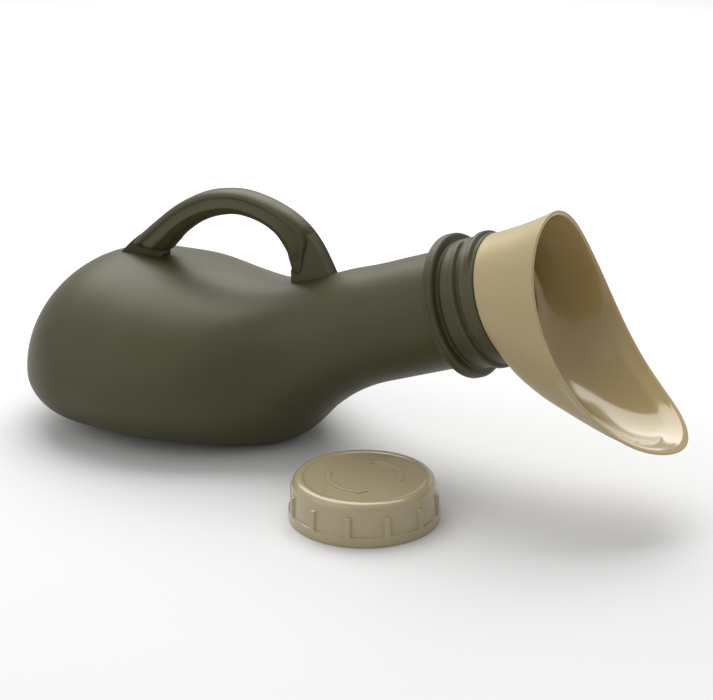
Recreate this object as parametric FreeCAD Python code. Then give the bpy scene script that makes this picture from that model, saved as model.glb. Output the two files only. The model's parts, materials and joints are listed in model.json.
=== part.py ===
import FreeCAD, Part
import math
import os

# Portable urine bottle: a hollow bulb with an inclined screw neck, an arched carrying handle,
# a push-fit female adapter with its seal ring, and a screw cap with its sealing disc.
# Frame in millimetres: the bulb rests on Z = 0, Y = 0 is the symmetry plane, and the neck
# points towards +X and upwards.

V = FreeCAD.Vector
os.makedirs("parts", exist_ok=True)

# ---- bottle bulb ----
WALL = 1.8
REAR_LENGTH = 47.3
REAR_POWER = 2.16
REAR_UNDERSIDE_POWER = 2.05
REAR_ANGLES = (9, 20, 33, 48, 64, 78)
TOP_POWER = 2.0
SECTION_POINTS = 32
SECTIONS_PER_SPAN = 2
TRIM_SIZE = 400.0

# Stations along the bulb: (x, height of the widest point, tilt in degrees, half width,
# rise to the top, drop to the underside, squareness of the lower half). The bulb's sections drop
# a little below Z = 0 and are cut there, which makes the flat base.
BULB_STATIONS = (
    (-20.0, 25.1, 0.0, 61.8, 48.0, 26.1, 2.35),
    (0.0, 25.1, 0.0, 63.3, 48.0, 26.1, 2.35),
    (18.0, 25.1, 0.0, 59.9, 45.6, 26.1, 2.35),
    (34.0, 26.0, 0.0, 53.7, 43.5, 27.0, 2.35),
    (46.0, 28.6, 1.0, 46.2, 41.4, 29.7, 2.35),
    (56.0, 32.7, 2.5, 39.0, 38.8, 32.4, 2.2),
    (64.0, 37.2, 4.5, 33.6, 36.1, 31.7, 2.15),
    (73.0, 43.1, 7.0, 28.7, 32.6, 27.2, 2.1),
    (83.0, 49.8, 11.0, 25.5, 29.0, 24.4, 2.0),
    (94.0, 56.5, 17.0, 24.3, 26.2, 23.8, 2.0),
)

# ---- neck and screw finish, measured along the neck axis back from the mouth ----
MOUTH_X = 158.9
MOUTH_Z = 81.8
NECK_TILT = 20.4
NECK_R = 24.5
NECK_STATIONS = (-56.0, -44.0, -32.0, -20.0)
FINISH_R = 26.7
FINISH_BORE_R = 25.0
FINISH_LENGTH = 17.4
FINISH_CHAMFER = 0.6
COLLAR_R = 30.1
COLLAR_WIDTH = 4.8
COLLAR_ROUND = 1.6
BORE_DEPTH = 19.5
BORE_TAPER = 3.5
BORE_RUN_OUT = 3.0
BORE_RUN_OUT_STEP = 0.5
CUT_MARGIN = 1.0

THREAD_PITCH = 7.0
THREAD_TURNS = 1.15
THREAD_HEIGHT = 1.3
THREAD_BASE = 3.0
THREAD_CREST = 1.4
THREAD_ROOT_OVERLAP = 0.4
NECK_THREAD_START = -10.75

# ---- carrying handle, in the Y = 0 plane ----
# Stations along the bar: (outer x, outer z, inner x, inner z, half width).
HANDLE_STATIONS = (
    (-22.5, 76.0, -8.0, 75.7, 3.1), (-24.4, 77.0, -6.0, 76.3, 5.2), (-24.6, 78.2, -4.9, 77.2, 6.2),
    (-22.2, 80.5, -3.3, 79.0, 6.4), (-16.5, 85.4, -1.2, 81.3, 6.4), (-10.4, 90.6, 1.5, 84.3, 6.3),
    (0.0, 98.6, 9.4, 90.5, 6.2), (14.4, 106.0, 19.3, 95.4, 6.2), (30.1, 108.9, 30.9, 98.0, 6.2),
    (42.6, 107.5, 41.9, 96.6, 6.2), (52.1, 104.6, 49.2, 93.4, 6.2), (59.7, 101.1, 52.7, 90.1, 6.1),
    (65.8, 96.3, 55.6, 85.9, 6.0), (67.0, 91.3, 56.3, 84.5, 5.8), (66.5, 88.4, 56.7, 82.6, 5.4),
    (65.7, 84.8, 57.2, 80.9, 4.9), (65.1, 81.8, 57.7, 79.3, 4.6), (64.4, 78.6, 58.2, 78.0, 4.2),
    (63.7, 77.1, 58.7, 76.9, 3.8), (62.6, 76.2, 59.6, 76.2, 3.1),
)
HANDLE_SQUARENESS = 2.5
WEB_WIDTH = 6.6
# Outer edges of the flat webs at the feet; each web is closed back through its root points.
FRONT_WEB_EDGE = ((58.5, 100.3), (62.2, 98.2), (65.4, 95.6), (68.3, 92.5), (71.1, 88.8), (74.0, 84.0),
                  (77.0, 78.3), (78.6, 74.5))
FRONT_WEB_ROOT = ((78.6, 68.0), (58.7, 68.0), (58.7, 77.5), (61.5, 84.0), (58.0, 95.0))
REAR_WEB_EDGE = ((-20.0, 81.4), (-23.5, 78.6), (-27.0, 75.4), (-31.0, 71.2))
REAR_WEB_ROOT = ((-31.0, 66.0), (-9.0, 66.0), (-9.0, 77.0))

# ---- female adapter, measured along the neck axis out from the mouth ----
ADAPTER_WALL = 1.8
SHOULDER_GAP = 0.05
# Funnel sections: (distance, top edge, bottom edge, half width).
FUNNEL_STATIONS = (
    (SHOULDER_GAP, 26.2, -26.2, 26.2),
    (3.5, 26.3, -36.0, 26.9),
    (10.0, 26.7, -44.8, 28.5),
    (18.0, 27.4, -52.4, 30.5),
    (28.0, 28.9, -61.2, 33.3),
    (38.0, 31.0, -68.2, 39.0),
    (47.0, 33.3, -72.2, 44.8),
    (58.0, 36.3, -74.8, 50.0),
)
# Side profile of the scooped rim: (distance, height across the neck axis).
RIM_PROFILE = (
    (31.8, 42.0), (30.6, 29.8), (28.3, 14.4), (27.6, -2.6), (29.4, -22.5),
    (34.6, -42.3), (43.2, -59.0), (51.9, -70.1), (55.7, -74.0), (60.0, -78.5),
)
SPIGOT_R = 24.92
SPIGOT_BORE_R = 22.4
SPIGOT_LENGTH = 18.0
SPIGOT_LEAD = 1.0
GROOVE_R = 23.7
GROOVE_WIDTH = 2.6
GROOVE_CENTRE = -9.0

# ---- seal ring ----
RING_INNER_R = 23.75
RING_OUTER_R = 24.97
RING_WIDTH = 2.5
RING_ROUND = 0.45

# ---- screw cap, standing open side down ----
CAP_X = 125.0
CAP_Y = -57.0
CAP_BAND_R = 30.5
CAP_BAND_HEIGHT = 4.2
CAP_PANEL_FOOT_R = 29.9
CAP_PANEL_TOP_R = 29.4
CAP_PANEL_TOP_Z = 13.6
CAP_BAND_BEVEL = 0.5
CAP_SHOULDER_R = 28.5
CAP_SHOULDER_Z = 15.8
CAP_RIM_FOOT_R = 27.0
CAP_RIM_FOOT_Z = 17.3
CAP_RIM_Z = 17.6
CAP_RIM_R = 25.6
CAP_RIM_WIDTH = 0.7
CAP_DISC_Z = 16.95
CAP_DISC_R = 24.2
CAP_INNER_R = 28.35
CAP_INNER_TOP = 15.0
CAP_INNER_ROUND = 0.8
RIB_COUNT = 12
RIB_WIDTH = 2.5
RIB_TOP_Z = 12.2
RIB_R = 30.45
RIB_PHASE = 17.0
RIB_ROOT = 0.6
CAP_THREAD_START = 3.0
CAP_THREAD_TURNS = 1.25
CAP_THREAD_BASE = 2.8
CAP_THREAD_CREST = 1.3
CAP_THREAD_HEIGHT = 1.1

# ---- sealing disc in the cap ----
LINER_R = 27.4
LINER_THICKNESS = 1.5
LINER_GAP = 0.05


def neck_placement():
    """Placement that takes +Z to the neck axis, +X to its upper side and the origin to the mouth."""
    axis = V(math.cos(math.radians(NECK_TILT)), 0, math.sin(math.radians(NECK_TILT)))
    upper = V(-math.sin(math.radians(NECK_TILT)), 0, math.cos(math.radians(NECK_TILT)))
    rotation = FreeCAD.Rotation(upper, axis.cross(upper), axis, "ZXY")
    return FreeCAD.Placement(V(MOUTH_X, 0, MOUTH_Z), rotation)


def on_neck(shape):
    """Move a shape made about +Z with the mouth at the origin to its place on the neck."""
    placed = shape.copy()
    placed.Placement = neck_placement().multiply(placed.Placement)
    return placed


def superellipse(angle, power):
    """Point of a unit superellipse."""
    c = math.cos(angle)
    s = math.sin(angle)
    x = math.copysign(abs(c) ** (2.0 / power), c)
    y = math.copysign(abs(s) ** (2.0 / power), s)
    return x, y


def closed_curve(points):
    """Smooth closed wire through the points."""
    curve = Part.BSplineCurve()
    curve.interpolate(Points=points, PeriodicFlag=True)
    return Part.Wire([curve.toShape()])


def between(stations):
    """The stations with smooth ones added between them, so that a loft follows them evenly."""
    last = len(stations) - 1
    added = []
    for i in range(last):
        before, start, end, after = (stations[max(0, min(last, i + k))] for k in (-1, 0, 1, 2))
        for step in range(SECTIONS_PER_SPAN):
            t = step / SECTIONS_PER_SPAN
            weights = (t * (t * (2 - t) - 1) / 2, (t * t * (3 * t - 5) + 2) / 2,
                       t * (t * (4 - 3 * t) + 1) / 2, t * t * (t - 1) / 2)
            added.append([sum(w * v for w, v in zip(weights, values))
                          for values in zip(before, start, end, after)])
    added.append(stations[last])
    return added


def bulb_section(x, z, tilt, half_width, rise, drop, power):
    """Cross-section of the bottle in a plane across its length."""
    up = V(-math.sin(math.radians(tilt)), 0, math.cos(math.radians(tilt)))
    points = []
    for i in range(SECTION_POINTS):
        angle = 2 * math.pi * i / SECTION_POINTS
        across, height = superellipse(angle, TOP_POWER if i <= SECTION_POINTS // 2 else power)
        height *= rise if height > 0 else drop
        points.append(V(x, half_width * across, z) + up * height)
    return closed_curve(points)


def bottle_body(inset):
    """Solid of the bulb and neck as far as the collar, with every face moved in by inset."""
    x0, z0, tilt, half_width, rise, drop, power = BULB_STATIONS[0]
    rear = REAR_LENGTH - inset
    sections = [Part.Vertex(V(x0 - rear, 0, z0))]
    for degrees in REAR_ANGLES:
        reach = math.cos(math.radians(degrees))
        size = (1 - reach ** REAR_POWER) ** (1 / REAR_POWER)
        under = size ** REAR_UNDERSIDE_POWER
        sections.append(bulb_section(x0 - rear * reach, z0, tilt, (half_width - inset) * size,
                                     (rise - inset) * size, (drop - inset) * under, power))
    neck = neck_placement()
    centres = [neck.multVec(V(0, 0, distance)) for distance in NECK_STATIONS]
    tube = [(c.x, c.z, NECK_TILT, NECK_R, NECK_R, NECK_R, TOP_POWER) for c in centres]
    for x, z, tilt, half_width, rise, drop, power in between(BULB_STATIONS + tuple(tube)):
        sections.append(bulb_section(x, z, tilt, half_width - inset, rise - inset,
                                     drop - inset, power))
    body = Part.makeLoft(sections, True)
    half = TRIM_SIZE / 2
    below = Part.makeBox(TRIM_SIZE, TRIM_SIZE, TRIM_SIZE, V(-half, -half, inset - TRIM_SIZE))
    return body.cut(below)


def revolved(profile):
    """Solid of revolution about Z from (radius, z) corners."""
    points = [V(r, 0, z) for r, z in profile]
    face = Part.Face(Part.makePolygon(points + points[:1]))
    return face.revolve(V(0, 0, 0), V(0, 0, 1), 360)


def ring_edges(solid, radius, z):
    """Circular edges of a turned solid at one radius and height."""
    found = []
    for edge in solid.Edges:
        curve = edge.Curve
        if isinstance(curve, Part.Circle) and abs(curve.Radius - radius) < 1e-4:
            if abs(curve.Center.z - z) < 1e-4:
                found.append(edge)
    return found


def thread(root_r, height, base, crest, start, turns):
    """Helical ridge about Z; a negative height makes it stand inwards from root_r."""
    foot = root_r - math.copysign(THREAD_ROOT_OVERLAP, height)
    tip = root_r + height
    profile = [V(foot, 0, start - base / 2), V(tip, 0, start - crest / 2),
               V(tip, 0, start + crest / 2), V(foot, 0, start + base / 2)]
    wire = Part.makePolygon(profile + profile[:1])
    helix = Part.makeHelix(THREAD_PITCH, THREAD_PITCH * turns, root_r)
    helix.translate(V(0, 0, start))
    return Part.Wire(helix.Edges).makePipeShell([wire], True, True)


def finish_blank():
    """Screw finish and collar as one turned solid, mouth at Z = 0."""
    front = -FINISH_LENGTH
    back = front - COLLAR_WIDTH
    solid = revolved([(0, 0), (FINISH_R - FINISH_CHAMFER, 0), (FINISH_R, -FINISH_CHAMFER),
                      (FINISH_R, front), (COLLAR_R, front), (COLLAR_R, back), (0, back)])
    edges = ring_edges(solid, COLLAR_R, front) + ring_edges(solid, COLLAR_R, back)
    return solid.makeFillet(COLLAR_ROUND, edges)


def make_bottle_shell():
    neck_inner = NECK_R - WALL
    taper_end = -BORE_DEPTH - BORE_TAPER
    bore_end = taper_end - BORE_RUN_OUT
    cavity = bottle_body(WALL)
    bore = revolved([(0, CUT_MARGIN), (FINISH_BORE_R, CUT_MARGIN), (FINISH_BORE_R, -BORE_DEPTH),
                     (neck_inner, taper_end), (neck_inner - BORE_RUN_OUT_STEP, bore_end),
                     (0, bore_end)])
    ridge = thread(FINISH_R, THREAD_HEIGHT, THREAD_BASE, THREAD_CREST, NECK_THREAD_START,
                   THREAD_TURNS)
    outer = bottle_body(0.0).fuse(on_neck(finish_blank()))
    outer = outer.fuse(on_neck(ridge))
    return outer.cut(cavity).cut(on_neck(bore))


def handle_side(sign):
    """One side of the handle's bar, as a surface from its inner line round to its outer line."""
    grid = []
    for outer_x, outer_z, inner_x, inner_z, half_width in between(HANDLE_STATIONS):
        outer, inner = V(outer_x, 0, outer_z), V(inner_x, 0, inner_z)
        centre = (outer + inner) * 0.5
        row = []
        for i in range(SECTION_POINTS // 2 + 1):
            across, out = superellipse(2 * math.pi * i / SECTION_POINTS - math.pi / 2, HANDLE_SQUARENESS)
            row.append(centre + (outer - centre) * out + V(0, sign * half_width * across, 0))
        grid.append(row)
    surface = Part.BSplineSurface()
    surface.interpolate(grid)
    return surface


def handle_bar():
    """The two sides of the bar, closed at both ends."""
    sides = [handle_side(sign) for sign in (1, -1)]
    faces = [side.toShape() for side in sides]
    first_end, last_end = sides[0].bounds()[:2]
    for end in (first_end, last_end):
        faces.append(Part.Face(Part.Wire([side.uIso(end).toShape() for side in sides])))
    shell = Part.Shell(faces)
    shell.sewShape()
    return Part.Solid(shell)


def handle_web(edge, root):
    """Flat plate that joins one end of the bar to the bottle."""
    line = Part.BSplineCurve()
    line.interpolate([V(x, -WEB_WIDTH / 2, z) for x, z in edge])
    corners = [line.EndPoint] + [V(x, -WEB_WIDTH / 2, z) for x, z in root] + [line.StartPoint]
    outline = Part.Wire([line.toShape()] + Part.makePolygon(corners).Edges)
    return Part.Face(outline).extrude(V(0, WEB_WIDTH, 0))


def make_carry_handle(bottle_outer):
    front = handle_web(FRONT_WEB_EDGE, FRONT_WEB_ROOT)
    rear = handle_web(REAR_WEB_EDGE, REAR_WEB_ROOT)
    return handle_bar().fuse(front).fuse(rear).cut(bottle_outer)


def funnel_body(inset):
    """Flared scoop of the adapter about the neck axis, before its rim is cut."""
    sections = []
    for distance, top, bottom, half_width in between(FUNNEL_STATIONS):
        centre = (top + bottom) / 2
        half_height = (top - bottom) / 2 - inset
        points = []
        for i in range(SECTION_POINTS):
            across, height = superellipse(2 * math.pi * i / SECTION_POINTS, 2.0)
            points.append(V(centre + half_height * height, (half_width - inset) * across, distance))
        sections.append(closed_curve(points))
    return Part.makeLoft(sections, True)


def rim_cutter():
    """Block that takes away everything in front of the scooped rim."""
    side = -TRIM_SIZE / 2
    line = Part.BSplineCurve()
    line.interpolate([V(height, side, distance) for distance, height in RIM_PROFILE])
    first = line.StartPoint
    last = line.EndPoint
    path = [last, V(last.x, side, TRIM_SIZE), V(first.x, side, TRIM_SIZE), first]
    face = Part.Face(Part.Wire([line.toShape()] + Part.makePolygon(path).Edges))
    return face.extrude(V(0, TRIM_SIZE, 0))


def make_female_adapter():
    spigot = revolved([(SPIGOT_BORE_R, SHOULDER_GAP), (SPIGOT_R, SHOULDER_GAP),
                       (SPIGOT_R, GROOVE_CENTRE + GROOVE_WIDTH / 2),
                       (GROOVE_R, GROOVE_CENTRE + GROOVE_WIDTH / 2),
                       (GROOVE_R, GROOVE_CENTRE - GROOVE_WIDTH / 2),
                       (SPIGOT_R, GROOVE_CENTRE - GROOVE_WIDTH / 2),
                       (SPIGOT_R, SPIGOT_LEAD - SPIGOT_LENGTH),
                       (SPIGOT_R - SPIGOT_LEAD, -SPIGOT_LENGTH),
                       (SPIGOT_BORE_R, -SPIGOT_LENGTH)])
    hollow = funnel_body(ADAPTER_WALL)
    floor = Part.makeCylinder(TRIM_SIZE, 2 * ADAPTER_WALL, V(0, 0, -ADAPTER_WALL))
    throat = Part.makeCylinder(SPIGOT_BORE_R, 3 * ADAPTER_WALL, V(0, 0, -ADAPTER_WALL))
    funnel = funnel_body(0.0).cut(hollow.cut(floor)).cut(throat).cut(rim_cutter())
    return on_neck(funnel.fuse(spigot))


def make_adapter_seal_ring():
    half = RING_WIDTH / 2
    ring = revolved([(RING_INNER_R, GROOVE_CENTRE - half), (RING_OUTER_R, GROOVE_CENTRE - half),
                     (RING_OUTER_R, GROOVE_CENTRE + half), (RING_INNER_R, GROOVE_CENTRE + half)])
    edges = ring_edges(ring, RING_OUTER_R, GROOVE_CENTRE - half)
    edges += ring_edges(ring, RING_OUTER_R, GROOVE_CENTRE + half)
    return on_neck(ring.makeFillet(RING_ROUND, edges))


def make_screw_cap():
    shell = revolved([(0, CAP_INNER_TOP), (CAP_INNER_R - CAP_INNER_ROUND, CAP_INNER_TOP),
                      (CAP_INNER_R, CAP_INNER_TOP - CAP_INNER_ROUND), (CAP_INNER_R, 0),
                      (CAP_BAND_R, 0), (CAP_BAND_R, CAP_BAND_HEIGHT),
                      (CAP_PANEL_FOOT_R, CAP_BAND_HEIGHT + CAP_BAND_BEVEL),
                      (CAP_PANEL_TOP_R, CAP_PANEL_TOP_Z), (CAP_SHOULDER_R, CAP_SHOULDER_Z),
                      (CAP_RIM_FOOT_R, CAP_RIM_FOOT_Z), (CAP_RIM_R, CAP_RIM_Z),
                      (CAP_RIM_R - CAP_RIM_WIDTH, CAP_RIM_Z), (CAP_DISC_R, CAP_DISC_Z),
                      (0, CAP_DISC_Z)])
    rib_foot_r = CAP_INNER_R + RIB_ROOT
    rib_foot_z = CAP_BAND_HEIGHT - RIB_ROOT
    rib = Part.makeBox(RIB_R - rib_foot_r, RIB_WIDTH, RIB_TOP_Z - rib_foot_z,
                       V(rib_foot_r, -RIB_WIDTH / 2, rib_foot_z))
    for i in range(RIB_COUNT):
        grip = rib.copy()
        grip.rotate(V(0, 0, 0), V(0, 0, 1), RIB_PHASE + i * 360.0 / RIB_COUNT)
        shell = shell.fuse(grip)
    ridge = thread(CAP_INNER_R, -CAP_THREAD_HEIGHT, CAP_THREAD_BASE, CAP_THREAD_CREST,
                   CAP_THREAD_START, CAP_THREAD_TURNS)
    cap = shell.fuse(ridge)
    cap.translate(V(CAP_X, CAP_Y, 0))
    return cap


def make_cap_liner():
    base = CAP_INNER_TOP - LINER_GAP - LINER_THICKNESS
    return Part.makeCylinder(LINER_R, LINER_THICKNESS, V(CAP_X, CAP_Y, base))


def export(name, shape):
    solids = shape.Solids
    if len(solids) != 1 or not shape.isValid():
        raise RuntimeError(name + " has " + str(len(solids)) + " solids")
    solids[0].exportStep("parts/" + name + ".step")
    print(name, "volume", round(solids[0].Volume / 1000.0, 2), "cm3")


def main():
    export("bottle_shell", make_bottle_shell())
    export("carry_handle", make_carry_handle(bottle_body(0.0)))
    export("female_adapter", make_female_adapter())
    export("adapter_seal_ring", make_adapter_seal_ring())
    export("screw_cap", make_screw_cap())
    export("cap_liner", make_cap_liner())


main()
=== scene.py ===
import json
import math

import bpy
import numpy as np
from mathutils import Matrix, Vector


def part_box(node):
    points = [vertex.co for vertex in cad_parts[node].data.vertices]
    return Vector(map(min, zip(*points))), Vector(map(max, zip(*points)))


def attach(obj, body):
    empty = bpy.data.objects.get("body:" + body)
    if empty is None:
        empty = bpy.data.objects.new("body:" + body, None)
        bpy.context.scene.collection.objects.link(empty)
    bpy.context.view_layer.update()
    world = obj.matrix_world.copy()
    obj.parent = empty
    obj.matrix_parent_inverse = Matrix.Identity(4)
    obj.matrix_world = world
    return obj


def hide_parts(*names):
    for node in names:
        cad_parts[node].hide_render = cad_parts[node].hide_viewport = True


# Looks of the portable urine bottle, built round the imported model.
# Shapes are worked out in millimetres in the model's own frame and made in metres.

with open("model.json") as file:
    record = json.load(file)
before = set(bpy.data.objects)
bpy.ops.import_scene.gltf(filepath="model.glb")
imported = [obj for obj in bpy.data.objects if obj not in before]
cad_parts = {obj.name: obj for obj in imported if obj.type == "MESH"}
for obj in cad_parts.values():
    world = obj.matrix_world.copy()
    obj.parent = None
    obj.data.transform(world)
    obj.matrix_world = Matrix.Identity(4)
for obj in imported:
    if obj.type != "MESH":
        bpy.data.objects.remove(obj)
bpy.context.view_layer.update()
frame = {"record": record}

MM = 0.001
SIDE = np.array((0.0, 1.0, 0.0))
mounts = {mount["name"]: mount for mount in frame["record"]["mounts"]}
MOUTH = np.array(mounts["neck_thread"]["pos_m"]) / MM
AXIS = np.array(mounts["neck_thread"]["axis"])
UPPER = np.array((-AXIS[2], 0.0, AXIS[0]))
NECK_TILT = math.degrees(math.atan2(AXIS[2], AXIS[0]))

# ---- bottle bulb: (x, height of the widest point, tilt, half width, rise, drop, lower power) ----
BULB_STATIONS = (
    (-20.0, 25.1, 0.0, 61.8, 48.0, 26.1, 2.35),
    (0.0, 25.1, 0.0, 63.3, 48.0, 26.1, 2.35),
    (18.0, 25.1, 0.0, 59.9, 45.6, 26.1, 2.35),
    (34.0, 26.0, 0.0, 53.7, 43.5, 27.0, 2.35),
    (46.0, 28.6, 1.0, 46.2, 41.4, 29.7, 2.35),
    (56.0, 32.7, 2.5, 39.0, 38.8, 32.4, 2.2),
    (64.0, 37.2, 4.5, 33.6, 36.1, 31.7, 2.15),
    (73.0, 43.1, 7.0, 28.7, 32.6, 27.2, 2.1),
    (83.0, 49.8, 11.0, 25.5, 29.0, 24.4, 2.0),
    (94.0, 56.5, 17.0, 24.3, 26.2, 23.8, 2.0),
)
REAR_LENGTH = 47.3
REAR_POWER = 2.16
REAR_UNDERSIDE_POWER = 2.05
REAR_ANGLES = (9, 20, 33, 48, 64, 78)
TOP_POWER = 2.0
WALL = 1.8
BASE_EDGE = 0.9
BODY_POINTS = 168
OUTER_ROWS = 5
INNER_ROWS = 2
SEAM_HEIGHT = 0.1
SEAM_SPREAD = (0.3, 0.9)

# ---- neck and screw finish: distances back from the mouth along the neck axis ----
NECK_R = 24.5
NECK_STATIONS = (-56.0, -44.0, -32.0, -20.0)
OUTER_SKIN_END = -26.5
INNER_SKIN_END = -24.0
FINISH_R = 26.7
FINISH_BORE_R = 25.0
FINISH_LENGTH = 17.4
COLLAR_R = 30.1
COLLAR_WIDTH = 4.8
BORE_DEPTH = 19.5
BORE_TAPER = 3.5
THREAD_PITCH = 7.0
THREAD_TURNS = 1.15
THREAD_HEIGHT = 1.3
THREAD_BASE = 3.0
THREAD_CREST = 1.4
THREAD_START = -10.75
THREAD_FADE = 18.0
THREAD_ROW = 0.25
RELIEF_OFFSET = 2.1
RELIEF_BASE = 1.7
RELIEF_CREST = 0.5
RELIEF_DEPTH = 0.65
COLLAR_RELIEF = 0.6
COLLAR_RELIEF_END = -15.3
COLLAR_RELIEF_FADE = 0.9

# ---- carrying handle: stations along the bar (outer x, outer z, inner x, inner z, half width) ----
HANDLE_STATIONS = (
    (-22.5, 76.0, -8.0, 75.7, 3.1), (-24.4, 77.0, -6.0, 76.3, 5.2), (-24.6, 78.2, -4.9, 77.2, 6.2),
    (-22.2, 80.5, -3.3, 79.0, 6.4), (-16.5, 85.4, -1.2, 81.3, 6.4), (-10.4, 90.6, 1.5, 84.3, 6.3),
    (0.0, 98.6, 9.4, 90.5, 6.2), (14.4, 106.0, 19.3, 95.4, 6.2), (30.1, 108.9, 30.9, 98.0, 6.2),
    (42.6, 107.5, 41.9, 96.6, 6.2), (52.1, 104.6, 49.2, 93.4, 6.2), (59.7, 101.1, 52.7, 90.1, 6.1),
    (65.8, 96.3, 55.6, 85.9, 6.0), (67.0, 91.3, 56.3, 84.5, 5.8), (66.5, 88.4, 56.7, 82.6, 5.4),
    (65.7, 84.8, 57.2, 80.9, 4.9), (65.1, 81.8, 57.7, 79.3, 4.6), (64.4, 78.6, 58.2, 78.0, 4.2),
    (63.7, 77.1, 58.7, 76.9, 3.8), (62.6, 76.2, 59.6, 76.2, 3.1),
)
HANDLE_POWER = 2.5
HANDLE_POINTS = 64
HANDLE_ROWS = 5
RIDGE_FADE = 2.8
RIDGE_HEIGHT = 0.65
RIDGE_PLACE = -0.22
RIDGE_SPREAD = 0.15
HOLLOW_DEPTH = 1.1
HOLLOW_PLACE = 0.24
HOLLOW_SPREAD = 0.18
WEB_WIDTH = 6.6
WEB_BEVEL = 0.45
FRONT_WEB_EDGE = ((58.5, 100.3), (62.2, 98.2), (65.4, 95.6), (68.3, 92.5), (71.1, 88.8), (74.0, 84.0),
                  (77.0, 78.3), (78.6, 74.5))
FRONT_WEB_ROOT = ((78.6, 68.0), (58.7, 68.0), (58.7, 77.5), (61.5, 84.0), (58.0, 95.0))
REAR_WEB_EDGE = ((-20.0, 81.4), (-23.5, 78.6), (-27.0, 75.4), (-31.0, 71.2))
REAR_WEB_ROOT = ((-31.0, 66.0), (-9.0, 66.0), (-9.0, 77.0))
FOOT_SINK = 0.25

# ---- female adapter: (distance from the mouth, top edge, bottom edge, half width) ----
FUNNEL_STATIONS = (
    (0.05, 26.2, -26.2, 26.2), (3.5, 26.3, -36.0, 26.9), (10.0, 26.7, -44.8, 28.5),
    (18.0, 27.4, -52.4, 30.5), (28.0, 28.9, -61.2, 33.3), (38.0, 31.0, -68.2, 39.0),
    (47.0, 33.3, -72.2, 44.8), (58.0, 36.3, -74.8, 50.0),
)
RIM_PROFILE = (
    (31.8, 42.0), (30.6, 29.8), (28.3, 14.4), (27.6, -2.6), (29.4, -22.5),
    (34.6, -42.3), (43.2, -59.0), (51.9, -70.1), (55.7, -74.0), (60.0, -78.5),
)
RIM_SAMPLES = 400
RIM_ROUNDS = 60
ADAPTER_WALL = 1.8
ADAPTER_POINTS = 192
FUNNEL_ROWS = 44
FUNNEL_ROW_POWER = 0.9
LIP_CREASE = 8.5
LIP_DEPTH = 1.5
LIP_FADE = 14.0
SPIGOT_R = 24.92
SPIGOT_BORE_R = 22.4
SPIGOT_LENGTH = 18.0
GROOVE_R = 23.7
GROOVE_WIDTH = 2.6
GROOVE_CENTRE = -9.0

# ---- seal ring ----
RING_INNER_R = 23.75
RING_OUTER_R = 24.97
RING_WIDTH = 2.5
RING_LIP_HEIGHT = 0.14

# ---- screw cap, standing open side down ----
CAP_BAND_R = 30.5
CAP_BAND_HEIGHT = 4.2
CAP_PANEL_FOOT_R = 29.6
CAP_PANEL_TOP_R = 29.15
CAP_PANEL_TOP_Z = 13.6
CAP_RIM_Z = 17.6
CAP_RIM_R = 25.6
CAP_DISC_Z = 16.95
CAP_DISC_R = 24.2
CAP_SHOULDER = 3.3
CAP_INNER_R = 28.35
CAP_INNER_TOP = 15.0
RIB_COUNT = 12
RIB_WIDTH = 2.5
RIB_TOP_Z = 12.2
RIB_R = 30.45
RIB_PHASE = 17.0
CAP_THREAD_START = 3.0
CAP_THREAD_TURNS = 1.25
CAP_THREAD_BASE = 2.8
CAP_THREAD_CREST = 1.3
CAP_THREAD_HEIGHT = 1.1
ARROW_R = 14.5
ARROW_WIDTH = 2.0
ARROW_HEIGHT = 0.42
ARROW_BEVEL = 0.1
ARROW_BARB = 1.2
ARROW_STEPS = 14
ARROW_SPAN = (10.0, 108.0, 126.0)
LINER_R = 27.4
LINER_THICKNESS = 1.5
LINER_GAP = 0.05
LINER_EDGE = 0.35
LINER_PRESS = 0.12

# ---- edges: the angles in degrees above which one is rounded off or shaded as sharp ----
BEVEL_ANGLE = 40
SHARP_ANGLE = 38

# ---- camera ----
CAMERA_AZIMUTH = 29.795
CAMERA_ELEVATION = 20.209
CAMERA_TARGET = (0.0887, 0.0, 0.0460)
CAMERA_DISTANCE = 0.8434
CAMERA_LENS = 100.0

# ---- stage: (direction, distance, size, power) of each light ----
TOP_LIGHT = ((-0.321, 0.458, 0.829), 1.15, (1.3, 1.17), 18.0)
FRONT_LIGHT = ((-0.45, -0.75, 0.5), 2.0, (2.2, 1.8), 10.0)
WORLD_STRENGTH = 0.62
FLOOR_REACH = 6.0
FLOOR_COLOUR = (0.68, 0.68, 0.68, 1.0)


# ---------------------------------------------------------------- mesh helpers

def make_object(name, vertices, faces):
    """Smooth-shaded object from points in millimetres."""
    mesh = bpy.data.meshes.new(name)
    mesh.from_pydata([tuple(v) for v in np.asarray(vertices) * MM], [], faces)
    mesh.validate()
    mesh.shade_smooth()
    made = bpy.data.objects.new(name, mesh)
    bpy.context.scene.collection.objects.link(made)
    return made


def grid_faces(rows, columns, closed=False):
    """Quads over a grid of rings; closed joins the last ring to the first."""
    faces = []
    for r in range(rows if closed else rows - 1):
        here = r * columns
        there = ((r + 1) % rows) * columns
        for c in range(columns):
            after = (c + 1) % columns
            faces.append((here + c, here + after, there + after, there + c))
    return faces


def capped_surface(name, rings):
    """Closed surface over rings, with a fan to the middle of the first and of the last ring."""
    rings = np.asarray(rings)
    rows, columns = rings.shape[:2]
    vertices = list(rings.reshape(-1, 3)) + [rings[0].mean(axis=0), rings[-1].mean(axis=0)]
    faces = grid_faces(rows, columns)
    first, last = rows * columns, rows * columns + 1
    end = (rows - 1) * columns
    for c in range(columns):
        after = (c + 1) % columns
        faces.append((first, after, c))
        faces.append((last, end + c, end + after))
    return make_object(name, vertices, faces)


def looped_surface(name, rings):
    """Closed surface over rings whose last ring joins the first, such as a tube with a wall."""
    rings = np.asarray(rings)
    rows, columns = rings.shape[:2]
    return make_object(name, rings.reshape(-1, 3), grid_faces(rows, columns, closed=True))


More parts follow.
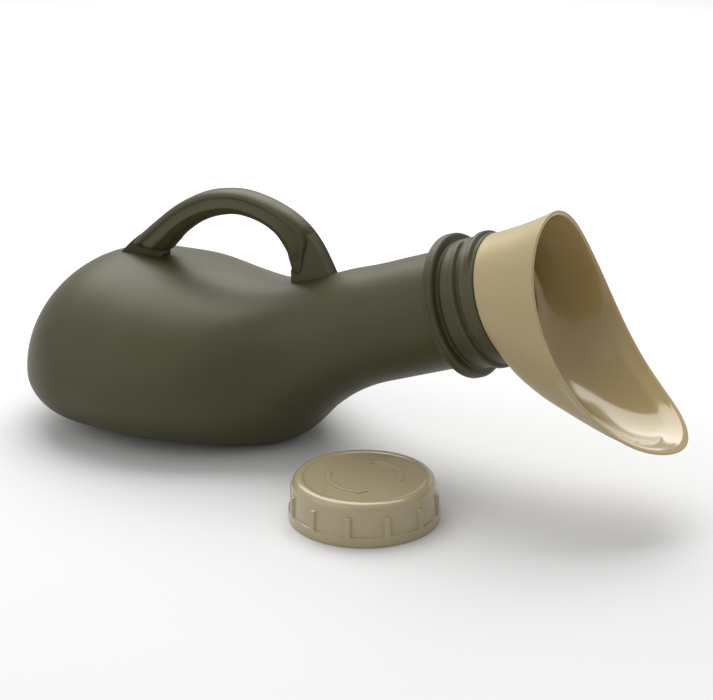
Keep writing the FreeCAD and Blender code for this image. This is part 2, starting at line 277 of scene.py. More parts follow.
def between(stations):
    """The stations with one smooth station added in the middle of each span."""
    stations = np.asarray(stations, float)
    padded = np.vstack((stations[:1], stations, stations[-1:]))
    middle = (9 * (padded[1:-2] + padded[2:-1]) - padded[:-3] - padded[3:]) / 16
    mixed = np.empty((2 * len(stations) - 1, stations.shape[1]))
    mixed[::2] = stations
    mixed[1::2] = middle
    return mixed


def spline_through(knots, values, wanted):
    """Natural cubic spline through values at the knots, read at the wanted places."""
    knots = np.asarray(knots, float)
    flat = np.asarray(values, float).reshape(len(knots), -1)
    gaps = np.diff(knots)[:, None]
    slopes = np.diff(flat, axis=0) / gaps
    system = np.eye(len(knots))
    bends = np.zeros_like(flat)
    for i in range(1, len(knots) - 1):
        system[i, i - 1:i + 2] = gaps[i - 1, 0], 2 * (gaps[i - 1, 0] + gaps[i, 0]), gaps[i, 0]
        bends[i] = 6 * (slopes[i] - slopes[i - 1])
    bends = np.linalg.solve(system, bends)
    wanted = np.asarray(wanted, float)
    span = np.clip(np.searchsorted(knots, wanted, side="right") - 1, 0, len(gaps) - 1)
    t = (wanted - knots[span])[:, None]
    gap = gaps[span]
    result = (flat[span] + t * (slopes[span] - gap * (2 * bends[span] + bends[span + 1]) / 6)
              + t ** 2 * bends[span] / 2 + t ** 3 * (bends[span + 1] - bends[span]) / (6 * gap))
    return result.reshape((len(wanted),) + np.asarray(values).shape[1:])


def rows_through(rings, rows_per_span, first):
    """Rings with smooth ones added between them, from the ring numbered first onwards."""
    rings = np.asarray(rings)
    gaps = np.linalg.norm(np.diff(rings, axis=0), axis=2).mean(axis=1)
    knots = np.concatenate(((0.0,), np.cumsum(gaps)))
    wanted = [knots[i] + (knots[i + 1] - knots[i]) * k / rows_per_span
              for i in range(first, len(knots) - 1) for k in range(rows_per_span)]
    return spline_through(knots, rings, wanted + [knots[-1]])


def superellipse(angles, power):
    """Points of a unit superellipse; power may differ from angle to angle."""
    c, s = np.cos(angles), np.sin(angles)
    across = np.copysign(np.abs(c) ** (2.0 / power), c)
    height = np.copysign(np.abs(s) ** (2.0 / power), s)
    return across, height


def smooth_step(value):
    """0 below 0, 1 above 1 and a smooth rise between them."""
    value = np.clip(value, 0.0, 1.0)
    return value * value * (3 - 2 * value)


def arc_points(centre, radius, start, end, count):
    """Points (radius, height) of a profile along an arc, angles in degrees."""
    angles = np.radians(np.linspace(start, end, count))
    return [(centre[0] + radius * math.cos(a), centre[1] + radius * math.sin(a)) for a in angles]


# ---------------------------------------------------------------- bottle

def body_angles():
    """Angles round the bottle, with close ones beside its mould seam at the top and underneath."""
    even = list(np.arange(BODY_POINTS) * 360.0 / BODY_POINTS)
    close = [seam + sign * offset
             for seam in (90.0, 270.0) for sign in (-1, 1) for offset in SEAM_SPREAD]
    return np.radians(sorted(even + close))


def body_ring(angles, x, z, tilt, half_width, rise, drop, power):
    """Cross-section of the bottle in a plane across its length."""
    powers = np.where(np.sin(angles) >= -1e-9, TOP_POWER, power)
    across, height = superellipse(angles, powers)
    height = height * np.where(height > 0, rise, drop)
    up = np.array((-math.sin(math.radians(tilt)), 0.0, math.cos(math.radians(tilt))))
    return np.array((x, 0.0, z)) + np.outer(half_width * across, SIDE) + np.outer(height, up)


def rear_ring(angles, degrees, inset):
    """Cross-section of the rounded rear end; a negative angle is the same ring seen past the pole."""
    x0, z0, tilt, half_width, rise, drop, power = BULB_STATIONS[0]
    reach = math.cos(math.radians(degrees))
    size = (1 - reach ** REAR_POWER) ** (1 / REAR_POWER)
    turned = angles if degrees >= 0 else angles + math.pi
    return body_ring(turned, x0 - (REAR_LENGTH - inset) * reach, z0, tilt,
                     (half_width - inset) * size, (rise - inset) * size,
                     (drop - inset) * size ** REAR_UNDERSIDE_POWER, power)


def body_rows(angles, inset, rows_per_span):
    """Rings of the bulb and neck from the rear pole to the collar, with every face moved in."""
    x0, z0 = BULB_STATIONS[0][:2]
    pole = np.tile((x0 - REAR_LENGTH + inset, 0.0, z0), (len(angles), 1))
    rings = [rear_ring(angles, -d, inset) for d in reversed(REAR_ANGLES[:2])]
    rings.append(pole)
    rings += [rear_ring(angles, d, inset) for d in REAR_ANGLES]
    centres = [MOUTH + AXIS * distance for distance in NECK_STATIONS]
    tube = [(c[0], c[2], NECK_TILT, NECK_R, NECK_R, NECK_R, TOP_POWER) for c in centres]
    for x, z, tilt, half_width, rise, drop, power in between(BULB_STATIONS + tuple(tube)):
        rings.append(body_ring(angles, x, z, tilt, half_width - inset, rise - inset,
                               drop - inset, power))
    rows = rows_through(rings, rows_per_span, first=2)
    depth = rows[:, :, 2] - inset
    rounded = np.where(depth >= BASE_EDGE, depth, (depth + BASE_EDGE) ** 2 / (4 * BASE_EDGE))
    rows[:, :, 2] = inset + np.where(depth <= -BASE_EDGE, 0.0, rounded)
    return rows[1:]


def neck_ring(angles, radius, distance):
    """Ring about the neck axis; the radius may differ from angle to angle."""
    spokes = np.outer(np.cos(angles), SIDE) + np.outer(np.sin(angles), UPPER)
    return MOUTH + AXIS * distance + spokes * np.broadcast_to(radius, angles.shape)[:, None]


def thread_rise(angles, distance, start, turns, base, crest, height):
    """Height of a right-hand thread at each angle; the ridge's start is on the upper side."""
    rise = np.zeros(len(angles))
    for turn in range(-1, int(turns) + 2):
        travelled = np.mod(angles - math.pi / 2, 2 * math.pi) + turn * 2 * math.pi
        offset = np.abs(distance - start - THREAD_PITCH * travelled / (2 * math.pi))
        flank = smooth_step((base / 2 - offset) / ((base - crest) / 2))
        fade = math.radians(THREAD_FADE)
        ends = smooth_step(travelled / fade) * smooth_step((turns * 2 * math.pi - travelled) / fade)
        rise = np.maximum(rise, height * flank * ends)
    return rise


def finish_rows(angles):
    """Rings of the collar, screw finish, mouth lip and bore, from the neck to the bore's end."""
    back = -FINISH_LENGTH - COLLAR_WIDTH
    collar = [(NECK_R, back - 3.6), (NECK_R + 0.05, back - 2.4), (NECK_R + 0.35, back - 1.6),
              (NECK_R + 0.9, back - 1.1), (NECK_R + 1.5, back - 0.85), (NECK_R + 2.4, back - 0.6),
              (NECK_R + 3.2, back - 0.3)]
    collar += [(r, s) for s, r in arc_points((back + 1.7, COLLAR_R - 1.7), 1.7, 190, 90, 9)]
    collar += [(COLLAR_R - 0.35, back + 2.15), (COLLAR_R - 0.55, back + 2.5),
               (COLLAR_R - 0.35, back + 2.85)]
    collar += [(r, s) for s, r in arc_points((-FINISH_LENGTH - 1.5, COLLAR_R - 1.5), 1.5, 90, 0, 8)]
    hollow = FINISH_R - COLLAR_RELIEF
    collar += [(COLLAR_R - 2.4, -FINISH_LENGTH), (hollow + 0.4, -FINISH_LENGTH),
               (hollow + 0.12, -FINISH_LENGTH + 0.12), (hollow, -FINISH_LENGTH + 0.4)]
    rings = [neck_ring(angles, r, s) for r, s in collar]
    count = int((FINISH_LENGTH - 1.4) / THREAD_ROW)
    for s in np.linspace(-FINISH_LENGTH + 0.8, -0.6, count):
        rise = thread_rise(angles, s, THREAD_START, THREAD_TURNS, THREAD_BASE, THREAD_CREST,
                           THREAD_HEIGHT)
        rise -= thread_rise(angles, s, THREAD_START + RELIEF_OFFSET, THREAD_TURNS, RELIEF_BASE,
                            RELIEF_CREST, RELIEF_DEPTH)
        rise -= COLLAR_RELIEF * smooth_step((COLLAR_RELIEF_END - s) / COLLAR_RELIEF_FADE)
        rings.append(neck_ring(angles, FINISH_R + rise, s))
    lip = [(FINISH_R - 0.18, -0.25), (FINISH_R - 0.5, -0.06), (FINISH_R - 0.85, 0.0),
           (FINISH_BORE_R + 0.3, 0.0), (FINISH_BORE_R + 0.08, -0.1), (FINISH_BORE_R, -0.35),
           (FINISH_BORE_R, -6.0), (FINISH_BORE_R, -12.0), (FINISH_BORE_R, -BORE_DEPTH + 0.3),
           (FINISH_BORE_R - 0.2, -BORE_DEPTH - 0.1),
           (NECK_R - WALL + 0.1, -BORE_DEPTH - BORE_TAPER)]
    rings += [neck_ring(angles, r, s) for r, s in lip]
    return rings


def add_seam(rows, angles):
    """Raises the mould seam, a hairline ridge where the two mould halves met."""
    near_seam = np.abs(np.cos(angles))
    ridge = 1 - smooth_step(near_seam / math.sin(math.radians(SEAM_SPREAD[1])))
    outward = np.outer(np.sign(np.sin(angles)) * ridge * SEAM_HEIGHT, (0.0, 0.0, 1.0))
    above_base = (rows[:, :, 2:] > 2 * BASE_EDGE) * 1.0
    return rows + outward[None] * above_base


def make_bottle():
    """The bottle as one closed skin: its outside, the screw finish, then its inside."""
    angles = body_angles()
    outer = add_seam(body_rows(angles, 0.0, OUTER_ROWS), angles)
    outer = [ring for ring in outer if (ring.mean(axis=0) - MOUTH) @ AXIS < OUTER_SKIN_END]
    inner = body_rows(angles, WALL, INNER_ROWS)
    inner = [ring for ring in inner if (ring.mean(axis=0) - MOUTH) @ AXIS < INNER_SKIN_END]
    return capped_surface("bottle", np.concatenate((outer, finish_rows(angles), inner[::-1])))


# ---------------------------------------------------------------- handle

def make_handle_bar():
    """Rounded bar, with the soft ridge and hollow that run along each of its sides."""
    angles = np.arange(HANDLE_POINTS) * 2 * math.pi / HANDLE_POINTS
    across, out = superellipse(angles, HANDLE_POWER)
    stations = between(HANDLE_STATIONS)
    knots = np.arange(len(stations), dtype=float)
    fine = np.linspace(0, len(stations) - 1, (len(stations) - 1) * HANDLE_ROWS + 1)
    smooth = spline_through(knots, stations, fine)
    rings = []
    for outer_x, outer_z, inner_x, inner_z, half_width in smooth:
        outer, inner = np.array((outer_x, 0.0, outer_z)), np.array((inner_x, 0.0, inner_z))
        height = np.sin(angles)
        ridge = RIDGE_HEIGHT * np.exp(-((height - RIDGE_PLACE) / RIDGE_SPREAD) ** 2)
        ridge = ridge - HOLLOW_DEPTH * np.exp(-((height - HOLLOW_PLACE) / HOLLOW_SPREAD) ** 2)
        fade = smooth_step((half_width - WEB_WIDTH / 2) / RIDGE_FADE)
        ridge *= fade * smooth_step(4 * np.abs(across) - 1)
        width = half_width * across + np.sign(across) * ridge
        rings.append((outer + inner) / 2 + np.outer(out, (outer - inner) / 2) + np.outer(width, SIDE))
    return capped_surface("handle_bar", rings)


def soften(piece, width):
    """Rounds the piece's sharp edges off."""
    bevel = piece.modifiers.new("edges", "BEVEL")
    bevel.width = width * MM
    bevel.segments = 3
    bevel.limit_method = "ANGLE"
    bevel.angle_limit = math.radians(BEVEL_ANGLE)


def make_web(name, edge, root):
    """Flat plate at one foot of the handle, with softened edges."""
    knots = np.arange(len(edge), dtype=float)
    outer = spline_through(knots, np.array(edge), np.linspace(0, len(edge) - 1, 8 * (len(edge) - 1) + 1))
    outline = [tuple(p) for p in outer] + list(root)
    count = len(outline)
    vertices = [(x, y, z) for y in (-WEB_WIDTH / 2, WEB_WIDTH / 2) for x, z in outline]
    faces = [tuple(range(count)), tuple(reversed(range(count, 2 * count)))]
    faces += [(i, (i + 1) % count, count + (i + 1) % count, count + i) for i in range(count)]
    web = make_object(name, vertices, faces)
    soften(web, WEB_BEVEL)
    return web


def apply_modifiers(piece):
    """Keeps the result of the piece's modifiers as its mesh."""
    evaluated = piece.evaluated_get(bpy.context.evaluated_depsgraph_get())
    mesh = bpy.data.meshes.new_from_object(evaluated)
    piece.modifiers.clear()
    piece.data = mesh


def trim_to_bottle(piece, core):
    """Cuts away what would reach into the bottle."""
    cut = piece.modifiers.new("foot", "BOOLEAN")
    cut.operation = "DIFFERENCE"
    cut.solver = "EXACT"
    cut.object = core
    apply_modifiers(piece)
    piece.data.shade_smooth()
    piece.data.set_sharp_from_angle(angle=math.radians(SHARP_ANGLE))


def make_handle():
    """The bar and its two webs, cut off just inside the bottle."""
    core = capped_surface("core", body_rows(body_angles(), FOOT_SINK, OUTER_ROWS))
    pieces = [make_handle_bar(), make_web("handle_front_web", FRONT_WEB_EDGE, FRONT_WEB_ROOT),
              make_web("handle_rear_web", REAR_WEB_EDGE, REAR_WEB_ROOT)]
    for piece in pieces:
        trim_to_bottle(piece, core)
    bpy.data.objects.remove(core)
    return pieces


# ---------------------------------------------------------------- female adapter

def funnel_points(angles, distances, inset):
    """Points of the funnel at each angle's own distance, with the wall moved in by inset."""
    stations = between(FUNNEL_STATIONS)
    top, bottom, half_width = spline_through(stations[:, 0], stations[:, 1:], distances).T
    height = (top + bottom) / 2 + ((top - bottom) / 2 - inset) * np.sin(angles)
    across = (half_width - inset) * np.cos(angles)
    return height, across


def rim_distance(angles, inset):
    """Distance of the scooped rim at each angle: where the funnel meets the rim's side profile."""
    profile = np.array(RIM_PROFILE)
    steps = np.linspace(0, len(profile) - 1, RIM_SAMPLES)
    fine = spline_through(np.arange(len(profile), dtype=float), profile, steps)
    distance = np.full(len(angles), 30.0)
    for _ in range(RIM_ROUNDS):
        height = funnel_points(angles, distance, inset)[0]
        distance = (distance + np.interp(-height, -fine[:, 1], fine[:, 0])) / 2
    return distance


def funnel_ring(angles, distances, inset):
    """Ring of the funnel, at each angle's own distance from the mouth."""
    height, across = funnel_points(angles, distances, inset)
    return (MOUTH + np.outer(distances, AXIS) + np.outer(height, UPPER) + np.outer(across, SIDE))


def lip_inset(angles, before_rim):
    """Extra inset of both faces behind the crease where the lower lip turns outwards."""
    low = smooth_step((-np.sin(angles) - 0.1) / 0.6)
    rise = smooth_step(1.0 - np.abs(before_rim - LIP_CREASE) / LIP_CREASE)
    behind = np.exp(-np.maximum(before_rim - LIP_CREASE, 0.0) / LIP_FADE)
    shape = np.where(before_rim > LIP_CREASE, behind, rise)
    return LIP_DEPTH * low * shape


def make_adapter():
    """Funnel and spigot as one closed wall, and the number of its first faces, which are inside."""
    angles = np.arange(ADAPTER_POINTS) * 2 * math.pi / ADAPTER_POINTS
    shoulder = FUNNEL_STATIONS[0][0]
    rim = {inset: rim_distance(angles, inset) for inset in (0.0, ADAPTER_WALL)}
    shares = np.linspace(0, 1, FUNNEL_ROWS) ** FUNNEL_ROW_POWER

    def wall(inset, starts):
        rows = []
        for share in shares:
            distances = starts + share * (rim[inset] - 0.35 - starts)
            before = (rim[inset] - distances) * 1.25
            rows.append(funnel_ring(angles, distances, inset + lip_inset(angles, before)))
        return rows

    groove_front, groove_back = GROOVE_CENTRE + GROOVE_WIDTH / 2, GROOVE_CENTRE - GROOVE_WIDTH / 2
    inside = [neck_ring(angles, SPIGOT_BORE_R, s) for s in
              np.linspace(-SPIGOT_LENGTH + 0.3, -0.4, 12)]
    inside += [neck_ring(angles, SPIGOT_BORE_R + r, s) for r, s in
               ((0.1, 0.6), (0.4, 1.2))]
    inside += wall(ADAPTER_WALL, np.full(len(angles), ADAPTER_WALL))
    edge = []
    for share in (0.12, 0.3, 0.5, 0.7, 0.88):
        inset = ADAPTER_WALL * (1 - share)
        bulge = 0.35 * math.sin(math.pi * share) - 0.12
        distances = rim[ADAPTER_WALL] * (1 - share) + rim[0.0] * share + bulge
        edge.append(funnel_ring(angles, distances, inset))
    outside = wall(0.0, np.full(len(angles), shoulder + 0.3))[::-1]
    outside += [neck_ring(angles, FINISH_R - 0.75, shoulder),
                neck_ring(angles, SPIGOT_R + 0.3, shoulder),
                neck_ring(angles, SPIGOT_R, shoulder - 0.2)]
    spigot = [(SPIGOT_R, -3.0), (SPIGOT_R, groove_front + 0.15), (SPIGOT_R - 0.15, groove_front),
              (GROOVE_R + 0.15, groove_front), (GROOVE_R, groove_front - 0.15),
              (GROOVE_R, groove_back + 0.15), (GROOVE_R + 0.15, groove_back),
              (SPIGOT_R - 0.15, groove_back), (SPIGOT_R, groove_back - 0.15),
              (SPIGOT_R, 1.2 - SPIGOT_LENGTH), (SPIGOT_R - 0.2, 0.8 - SPIGOT_LENGTH),
              (SPIGOT_R - 1.0, 0.1 - SPIGOT_LENGTH), (SPIGOT_R - 1.3, -SPIGOT_LENGTH),
              (SPIGOT_BORE_R + 0.3, -SPIGOT_LENGTH)]
    outside += [neck_ring(angles, r, s) for r, s in spigot]
    adapter = looped_surface("adapter", inside + edge + outside)
    return adapter, (len(inside) + len(edge) // 2) * len(angles)


def make_seal_ring():
    """Seal ring with a rounded outer face and three fine sealing lips."""
    angles = np.arange(ADAPTER_POINTS) * 2 * math.pi / ADAPTER_POINTS
    half = RING_WIDTH / 2
    rings = [neck_ring(angles, RING_INNER_R, GROOVE_CENTRE + half),
             neck_ring(angles, RING_INNER_R, GROOVE_CENTRE),
             neck_ring(angles, RING_INNER_R, GROOVE_CENTRE - half)]
    for t in np.linspace(-1, 1, 41):
        crown = (RING_OUTER_R - RING_INNER_R) * (1 - abs(t) ** 6) ** 0.5
        lips = RING_LIP_HEIGHT * (1 - abs(math.cos(1.5 * math.pi * t)))
        rings.append(neck_ring(angles, RING_INNER_R + max(crown - lips * (1 - t ** 6), 0.15),
                               GROOVE_CENTRE + half * t))
    return looped_surface("seal_ring", rings)


# ---------------------------------------------------------------- screw cap and its disc

def cap_centre():
    """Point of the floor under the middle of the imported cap."""
    low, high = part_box("screw_cap")
    return np.array(((low.x + high.x) / 2, (low.y + high.y) / 2, 0.0)) / MM


def cap_angles():
    """Angles round the cap in degrees from the first rib, closely spaced at each rib's flanks."""
    half = math.degrees(RIB_WIDTH / 2 / RIB_R)
    step = 360.0 / RIB_COUNT
    flank = (-half - 0.55, -half - 0.25, -half, -half + 0.3, -half / 3,
             half / 3, half - 0.3, half, half + 0.25, half + 0.55)
    plain = tuple(np.linspace(half + 1.6, step - half - 1.6, 9))
    return np.array([i * step + a for i in range(RIB_COUNT) for a in flank + plain])


def make_cap(centre):
    """Cap with a band, ribs, a sunken disc on top and a thread inside."""
    degrees = cap_angles()
    angles = np.radians(degrees + RIB_PHASE)
    half = math.degrees(RIB_WIDTH / 2 / RIB_R)
    from_rib = np.abs((degrees + 180.0 / RIB_COUNT) % (360.0 / RIB_COUNT) - 180.0 / RIB_COUNT)
    on_rib = 1 - smooth_step((from_rib - half + 0.3) / 0.6)

    def ring(radius, z):
        spokes = np.stack((np.cos(angles), np.sin(angles), np.zeros(len(angles))), axis=1)
        radii = np.broadcast_to(radius, angles.shape)[:, None]
        return centre + spokes * radii + np.array((0.0, 0.0, z))

    def side(z):
        """Radius at height z: the band, then the panels between the ribs."""
        share = (z - CAP_BAND_HEIGHT) / (CAP_PANEL_TOP_Z - CAP_BAND_HEIGHT)
        panel = CAP_PANEL_FOOT_R + (CAP_PANEL_TOP_R - CAP_PANEL_FOOT_R) * min(max(share, 0), 1)
        band = 1 - smooth_step((z - CAP_BAND_HEIGHT + 0.1) / 0.4)
        rib = on_rib * (1 - smooth_step((z - RIB_TOP_Z + 0.25) / 0.5))
        rib = rib * (RIB_R - panel) / (CAP_BAND_R - panel)
        return panel + (CAP_BAND_R - panel) * np.maximum(band, rib)

    levels = [0.5, 1.2, 2.4, 3.6, 3.9, 4.05, 4.15, 4.25, 4.35, 4.5, 4.7, 5.5, 7.0, 8.5, 10.0, 11.2,
              11.8, 12.0, 12.12, 12.24, 12.36, 12.5, 12.8, CAP_PANEL_TOP_Z]
    rings = [ring(CAP_BAND_R - 0.45, 0.0), ring(CAP_BAND_R - 0.12, 0.12)]
    rings += [ring(side(z), z) for z in levels]
    shoulder = (CAP_PANEL_TOP_R - CAP_SHOULDER - 0.1, CAP_RIM_Z - CAP_SHOULDER)
    rings += [ring(r, z) for r, z in arc_points(shoulder, CAP_SHOULDER, 6, 78, 10)]
    top = [(CAP_RIM_R, CAP_RIM_Z), (CAP_RIM_R - 0.5, CAP_RIM_Z - 0.04),
           (CAP_RIM_R - 0.9, CAP_RIM_Z - 0.2), (CAP_DISC_R + 0.1, CAP_DISC_Z + 0.12),
           (CAP_DISC_R - 0.35, CAP_DISC_Z + 0.02)]
    top += [(r, CAP_DISC_Z) for r in (CAP_DISC_R - 1.0, 18.0, 11.0, 5.0, 2.0, 1.0, 0.5)]
    outside = rings + [ring(r, z) for r, z in top]
    rings = [ring(CAP_INNER_R + 0.4, 0.0), ring(CAP_INNER_R + 0.15, 0.1)]
    for z in np.linspace(0.5, CAP_INNER_TOP - 1.1, 60):
        rise = thread_rise(angles + math.pi / 2, z, CAP_THREAD_START, CAP_THREAD_TURNS, CAP_THREAD_BASE,
                           CAP_THREAD_CREST, CAP_THREAD_HEIGHT)
        rings.append(ring(CAP_INNER_R - rise, z))
    ceiling = arc_points((CAP_INNER_R - 0.8, CAP_INNER_TOP - 0.8), 0.8, 0, 90, 5)
    ceiling += [(20.0, CAP_INNER_TOP), (10.0, CAP_INNER_TOP), (0.5, CAP_INNER_TOP)]
    rings += [ring(r, z) for r, z in ceiling]
    return capped_surface("cap", outside[::-1] + rings)


def make_turn_arrows(centre):
    """Pair of raised arrows on the cap's disc that show which way it opens."""
    start, end, head = (math.radians(a) for a in ARROW_SPAN)
    outline = [(ARROW_R + ARROW_WIDTH / 2, angle) for angle in np.linspace(start, end, ARROW_STEPS + 1)]
    barb = ARROW_WIDTH * ARROW_BARB
    outline += [(ARROW_R + barb, end), (ARROW_R, head), (ARROW_R - barb, end)]
    outline += [(ARROW_R - ARROW_WIDTH / 2, angle) for angle in np.linspace(end, start, ARROW_STEPS + 1)]
    count = len(outline)
    flats = [(i, i + 1, count - 2 - i, count - 1 - i) for i in range(ARROW_STEPS)]
    flats.append(tuple(range(ARROW_STEPS, ARROW_STEPS + 5)))
    vertices, faces = [], []
    for turn in (0.0, math.pi):
        first = len(vertices)
        for z in (CAP_DISC_Z - 0.1, CAP_DISC_Z + ARROW_HEIGHT):
            vertices += [centre + np.array((r * math.cos(a + turn), r * math.sin(a + turn), z))
                         for r, a in outline]
        faces += [tuple(first + i for i in reversed(flat)) for flat in flats]
        faces += [tuple(first + count + i for i in flat) for flat in flats]
        for i in range(count):
            after = (i + 1) % count
            faces.append((first + i, first + after, first + count + after, first + count + i))
    arrows = make_object("cap_arrows", vertices, faces)
    soften(arrows, ARROW_BEVEL)
    apply_modifiers(arrows)
    arrows.data.shade_smooth()
    arrows.data.set_sharp_from_angle(angle=math.radians(SHARP_ANGLE))
    return arrows


def make_liner(centre):
    """Sealing disc with rounded edges and a shallow pressed ring where the mouth bears on it."""
    top = CAP_INNER_TOP - LINER_GAP
    base = top - LINER_THICKNESS
    angles = np.arange(ADAPTER_POINTS) * 2 * math.pi / ADAPTER_POINTS
    profile = [(0.5, base), (8.0, base), (16.0, base), (FINISH_BORE_R - 0.6, base),
               (FINISH_BORE_R, base + LINER_PRESS), (FINISH_R, base + LINER_PRESS),
               (FINISH_R + 0.3, base)]
    profile += arc_points((LINER_R - LINER_EDGE, base + LINER_EDGE), LINER_EDGE, -80, 0, 5)
    profile += arc_points((LINER_R - LINER_EDGE, top - LINER_EDGE), LINER_EDGE, 0, 90, 5)
    profile += [(16.0, top), (8.0, top), (0.5, top)]
    spokes = np.stack((np.cos(angles), np.sin(angles), np.zeros(len(angles))), axis=1)
    rings = [centre + spokes * r + np.array((0.0, 0.0, z)) for r, z in profile]
    return capped_surface("liner", rings)


# ---------------------------------------------------------------- materials

def plastic(name, colour, roughness, mottle, peel, peel_size=900.0, streaks=0.0, coat=0.0):
    """Moulded plastic: slightly uneven colour and gloss, a fine skin and, where wanted, streaks."""
    material = bpy.data.materials.new(name)
    material.use_nodes = True
    nodes, links = material.node_tree.nodes, material.node_tree.links
    shader = nodes["Principled BSDF"]
    shader.inputs["IOR"].default_value = 1.5
    shader.inputs["Specular Tint"].default_value = (1.0, 0.95, 0.8, 1.0)
    shader.inputs["Coat Weight"].default_value = coat
    shader.inputs["Coat Roughness"].default_value = 0.12
    place = nodes.new("ShaderNodeTexCoord")

    def noise(scale, detail, stretch=(1, 1, 1)):
        mapping = nodes.new("ShaderNodeMapping")
        mapping.inputs["Scale"].default_value = stretch
        texture = nodes.new("ShaderNodeTexNoise")
        texture.inputs["Scale"].default_value = scale
        texture.inputs["Detail"].default_value = detail
        links.new(place.outputs["Object"], mapping.inputs["Vector"])
        links.new(mapping.outputs["Vector"], texture.inputs["Vector"])
        return texture.outputs["Fac"]

    cloud = noise(22.0, 3.0)
    ramp = nodes.new("ShaderNodeValToRGB")
    ramp.color_ramp.elements[0].position = 0.3
    ramp.color_ramp.elements[1].position = 0.7
    ramp.color_ramp.elements[0].color = tuple(c * (1 - mottle) for c in colour) + (1.0,)
    ramp.color_ramp.elements[1].color = tuple(c * (1 + mottle) for c in colour) + (1.0,)
    links.new(cloud, ramp.inputs["Fac"])
    links.new(ramp.outputs["Color"], shader.inputs["Base Color"])

    gloss = nodes.new("ShaderNodeMapRange")
    gloss.inputs["From Min"].default_value = 0.3
    gloss.inputs["From Max"].default_value = 0.7
    gloss.inputs["To Min"].default_value = roughness - 0.03
    gloss.inputs["To Max"].default_value = roughness + 0.04
    links.new(noise(60.0, 4.0, (1, 1, 1) if streaks == 0 else (0.25, 1, 1)), gloss.inputs["Value"])
    links.new(gloss.outputs["Result"], shader.inputs["Roughness"])

    skin = nodes.new("ShaderNodeBump")
    skin.inputs["Strength"].default_value = peel
    skin.inputs["Distance"].default_value = MM
    links.new(noise(peel_size, 2.0), skin.inputs["Height"])
    last = skin
    if streaks:
        drawn = nodes.new("ShaderNodeBump")
        drawn.inputs["Strength"].default_value = streaks
        drawn.inputs["Distance"].default_value = MM
        links.new(noise(260.0, 3.0, (0.06, 1, 1)), drawn.inputs["Height"])
        links.new(skin.outputs["Normal"], drawn.inputs["Normal"])
        last = drawn
    links.new(last.outputs["Normal"], shader.inputs["Normal"])
    return material


def dress(piece, body, slot, *materials):
    """Gives a piece its materials and its body; the slot argument is not used."""
    piece.data.materials.clear()
    for material in materials:
        piece.data.materials.append(material)
    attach(piece, body)
    return piece


# ---------------------------------------------------------------- stage

def make_floor():
    mesh = bpy.data.meshes.new("floor")
    reach = FLOOR_REACH
    mesh.from_pydata([(-reach, -reach, 0), (reach, -reach, 0), (reach, reach, 0), (-reach, reach, 0)],
                     [], [(0, 1, 2, 3)])
    floor = bpy.data.objects.new("floor", mesh)
    bpy.context.scene.collection.objects.link(floor)
    material = bpy.data.materials.new("floor_paper")
    material.use_nodes = True
    shader = material.node_tree.nodes["Principled BSDF"]
    shader.inputs["Base Color"].default_value = FLOOR_COLOUR
    shader.inputs["Roughness"].default_value = 0.9
    mesh.materials.append(material)


def make_softbox(name, direction, distance, size, power):
    """Area light that faces the object from a direction."""
    light = bpy.data.lights.new(name, "AREA")
    light.shape = "RECTANGLE"
    light.size, light.size_y = size
    light.energy = power
    lamp = bpy.data.objects.new(name, light)
    way = Vector(direction).normalized()
    lamp.location = Vector(CAMERA_TARGET) + way * distance
    lamp.rotation_mode = "QUATERNION"
    lamp.rotation_quaternion = way.to_track_quat("Z", "Y")
    bpy.context.scene.collection.objects.link(lamp)


def make_lights():
    make_softbox("top", *TOP_LIGHT)
    make_softbox("front", *FRONT_LIGHT)
    world = bpy.data.worlds.new("studio")
    world.use_nodes = True
    world.node_tree.nodes["Background"].inputs["Color"].default_value = (1.0, 1.0, 1.0, 1.0)
    world.node_tree.nodes["Background"].inputs["Strength"].default_value = WORLD_STRENGTH
    bpy.context.scene.world = world


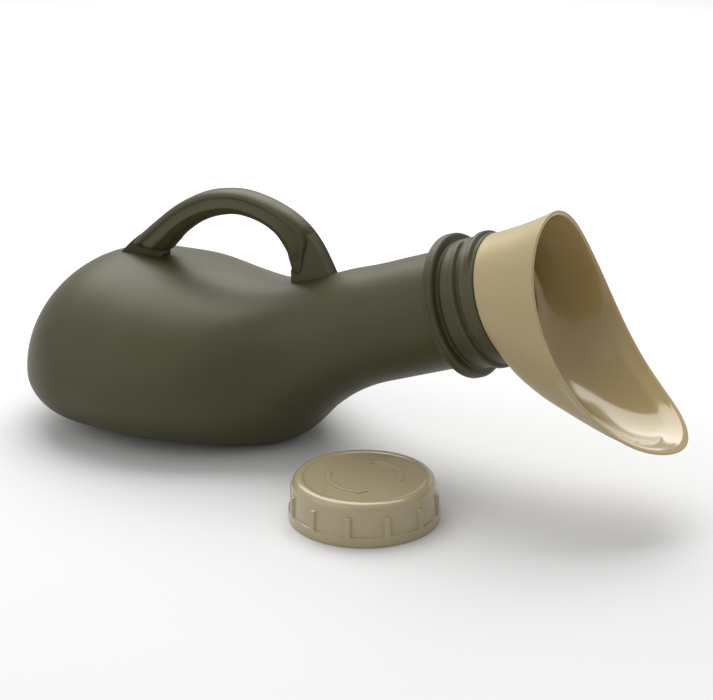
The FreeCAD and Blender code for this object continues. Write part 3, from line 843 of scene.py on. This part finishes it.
def make_camera():
    azimuth, elevation = math.radians(CAMERA_AZIMUTH), math.radians(CAMERA_ELEVATION)
    back = Vector((math.sin(azimuth) * math.cos(elevation), -math.cos(azimuth) * math.cos(elevation),
                   math.sin(elevation)))
    data = bpy.data.cameras.new("camera")
    data.lens = CAMERA_LENS
    camera = bpy.data.objects.new("camera", data)
    camera.location = Vector(CAMERA_TARGET) + back * CAMERA_DISTANCE
    camera.rotation_mode = "QUATERNION"
    camera.rotation_quaternion = (-back).to_track_quat("-Z", "Y")
    bpy.context.scene.collection.objects.link(camera)
    bpy.context.scene.camera = camera


# ---------------------------------------------------------------- build

olive = plastic("olive_plastic", (0.039, 0.036, 0.012), 0.48, mottle=0.08, peel=0.05, streaks=0.04)
khaki_satin = plastic("khaki_satin", (0.36, 0.285, 0.15), 0.42, mottle=0.04, peel=0.03)
# The adapter's inside material: its base colour is a darker, more saturated copy of the same khaki,
# painted shade standing in for light bouncing inside the funnel; its lower roughness and coat are the
# inside's glossier finish.
khaki_gloss_painted_shade = plastic("khaki_gloss_painted_shade", (0.36, 0.265, 0.11), 0.16, mottle=0.04, peel=0.01, coat=0.6)
khaki_cap = plastic("khaki_cap", (0.33, 0.27, 0.16), 0.3, mottle=0.04, peel=0.02, coat=0.7)
rubber = plastic("seal_rubber", (0.02, 0.02, 0.02), 0.55, mottle=0.1, peel=0.05)
foam = plastic("liner_foam", (0.72, 0.71, 0.66), 0.75, mottle=0.05, peel=0.25, peel_size=500.0)

bottle = dress(make_bottle(), "bottle", "bottle_plastic", olive)
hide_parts("bottle_shell")

for piece in make_handle():
    dress(piece, "bottle", "bottle_plastic", olive)
    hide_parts("carry_handle")

adapter, inner_faces = make_adapter()
dress(adapter, "adapter", "adapter_plastic", khaki_satin, khaki_gloss_painted_shade)
# Inside faces take the khaki copy with painted shade, outside faces the plain khaki.
for polygon in adapter.data.polygons:
    polygon.material_index = 1 if polygon.index < inner_faces else 0
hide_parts("female_adapter")

ring = dress(make_seal_ring(), "seal_ring", "seal_rubber", rubber)
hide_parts("adapter_seal_ring")

centre = cap_centre()
cap = dress(make_cap(centre), "cap", "cap_plastic", khaki_cap)
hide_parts("screw_cap")

arrows = dress(make_turn_arrows(centre), "cap", "cap_plastic", khaki_cap)
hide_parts("screw_cap")

liner = dress(make_liner(centre), "sealing_disc", "liner_foam", foam)
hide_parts("cap_liner")

make_floor()
make_lights()
make_camera()
bpy.context.scene.view_settings.view_transform = "Standard"
